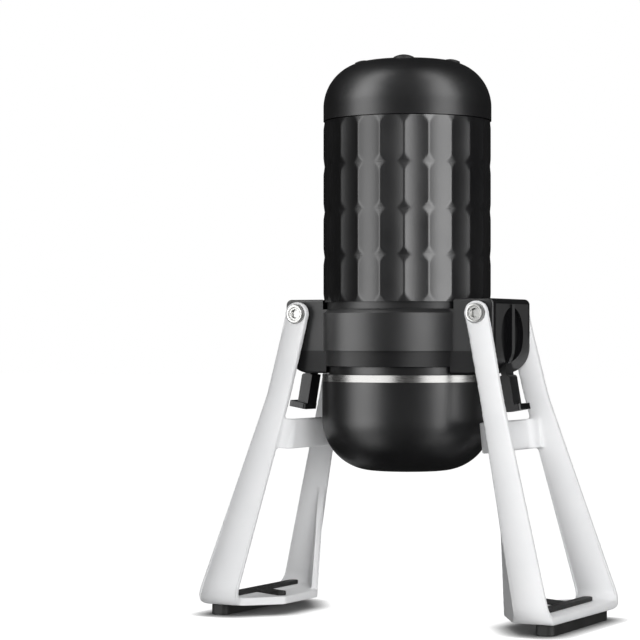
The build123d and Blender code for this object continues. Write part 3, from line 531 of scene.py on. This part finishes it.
def add_world():
    """White behind the object, and a dimmer grey room for the surfaces to see."""
    world = bpy.data.worlds.new("studio")
    bpy.context.scene.world = world
    world.use_nodes = True
    nodes, links = world.node_tree.nodes, world.node_tree.links
    room = nodes["Background"]
    room.inputs["Color"].default_value = (1, 1, 1, 1)
    room.inputs["Strength"].default_value = ROOM_DIFFUSE
    white = nodes.new("ShaderNodeBackground")
    white.inputs["Strength"].default_value = BACKDROP_GLOW
    white.inputs["Color"].default_value = (1, 1, 1, 1)
    path = nodes.new("ShaderNodeLightPath")
    mix = nodes.new("ShaderNodeMixShader")
    dark = nodes.new("ShaderNodeBackground")
    dark.inputs["Strength"].default_value = ROOM_GLOSSY
    glossy = nodes.new("ShaderNodeMixShader")
    links.new(path.outputs["Is Glossy Ray"], glossy.inputs["Fac"])
    links.new(room.outputs["Background"], glossy.inputs[1])
    links.new(dark.outputs["Background"], glossy.inputs[2])
    links.new(path.outputs["Is Camera Ray"], mix.inputs["Fac"])
    links.new(glossy.outputs["Shader"], mix.inputs[1])
    links.new(white.outputs["Background"], mix.inputs[2])
    links.new(mix.outputs["Shader"], nodes["World Output"].inputs["Surface"])


def add_panel(name, turn, width, foot, top, radiance, seen_by):
    """Upright soft panel that faces the object's axis, for reflections or for matt light alone."""
    data = bpy.data.lights.new(name, "AREA")
    data.shape = "RECTANGLE"
    data.size, data.size_y = width, top - foot
    data.energy = radiance * math.pi * data.size * data.size_y
    light = bpy.data.objects.new(name, data)
    x, y = direction(VIEW_AZIMUTH + turn)
    light.location = (x * PANEL_DISTANCE, y * PANEL_DISTANCE, (foot + top) / 2)
    light.rotation_euler = (math.radians(90), 0, math.radians(VIEW_AZIMUTH + turn))
    light.visible_glossy = seen_by == "glossy"
    light.visible_diffuse = seen_by == "diffuse"
    bpy.context.scene.collection.objects.link(light)
    return light


def link_light(light, pieces, names, state):
    """Keeps a panel's light to the named pieces, or off them."""
    receivers = bpy.data.collections.new(light.name + "_lights")
    for name in names:
        receivers.objects.link(pieces[name])
    for member in receivers.collection_objects:
        member.light_linking.link_state = state
    light.light_linking.receiver_collection = receivers


def add_reflected_panels(group, pieces, names, state):
    """A stack of panels on either side, which shows in the named pieces, or in all but them."""
    for side, (turn, width, radiance) in zip(SIDES, REFLECTED_PANELS[group]):
        for length, (foot, top, share, turned) in PANEL_LENGTHS.items():
            name = "_".join((group, side, length))
            light = add_panel(name, turn * turned, width, foot, top, radiance * share, "glossy")
            link_light(light, pieces, names, state)


def add_lights(pieces):
    """The four groups of reflected panels, the covers' own, and the two that light matt surfaces."""
    others = SLEEVE_PIECES + STEEL_PIECES + FRAME_PIECES + LEGS
    add_reflected_panels("body", pieces, others, "EXCLUDE")
    add_reflected_panels("sleeve", pieces, SLEEVE_PIECES, "INCLUDE")
    add_reflected_panels("steel", pieces, STEEL_PIECES, "INCLUDE")
    add_reflected_panels("frame", pieces, FRAME_PIECES, "INCLUDE")
    link_light(add_panel("panel_covers", *COVER_PANEL, "glossy"), pieces, COVERS, "INCLUDE")
    add_panel("panel_key", *KEY_PANEL, "diffuse")
    size = TOP_PANEL_SIZE
    top = add_panel("panel_top", 0, size, 0, size, TOP_PANEL_RADIANCE, "diffuse")
    top.location = (0, 0, TOP_PANEL_HEIGHT)
    top.rotation_euler = (0, 0, 0)


def add_camera():
    """Level camera at the photograph's angle, with its picture shifted up."""
    data = bpy.data.cameras.new("camera")
    data.lens, data.sensor_width = CAMERA_LENS, CAMERA_SENSOR
    data.shift_y = HORIZON_SHIFT
    camera = bpy.data.objects.new("camera", data)
    x, y = direction(VIEW_AZIMUTH)
    away_x, away_y = x * CAMERA_DISTANCE, y * CAMERA_DISTANCE
    camera.location = (away_x + y * CAMERA_LEFT, away_y - x * CAMERA_LEFT, CAMERA_HEIGHT)
    camera.rotation_euler = (math.radians(90), 0, math.radians(VIEW_AZIMUTH))
    bpy.context.scene.collection.objects.link(camera)
    bpy.context.scene.camera = camera


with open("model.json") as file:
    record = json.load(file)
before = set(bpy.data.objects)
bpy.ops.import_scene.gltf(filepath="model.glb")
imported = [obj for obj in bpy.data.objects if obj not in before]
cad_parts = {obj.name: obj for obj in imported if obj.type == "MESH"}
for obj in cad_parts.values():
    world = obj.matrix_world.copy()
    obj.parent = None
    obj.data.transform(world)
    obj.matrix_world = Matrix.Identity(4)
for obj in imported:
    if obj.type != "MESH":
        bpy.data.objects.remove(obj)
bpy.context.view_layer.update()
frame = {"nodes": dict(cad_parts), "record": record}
dress(frame)
pieces = dict(frame["nodes"], fluted_sleeve=fluted_sleeve())
for side in SIDES:
    pieces["screw_heads_" + side] = screw_heads(side)
for leg in LEGS:
    soften_edges(frame["nodes"][leg], CAST_VOXEL, CAST_ROUNDS)
    crown_rails(frame["nodes"][leg])
for side in SIDES:
    press_spring(side)
for rubber in RUBBER_PIECES:
    soften_edges(frame["nodes"][rubber], RUBBER_VOXEL, RUBBER_ROUNDS)
add_floor()
add_world()
add_lights(pieces)
add_camera()
bpy.context.scene.view_settings.view_transform = "Standard"
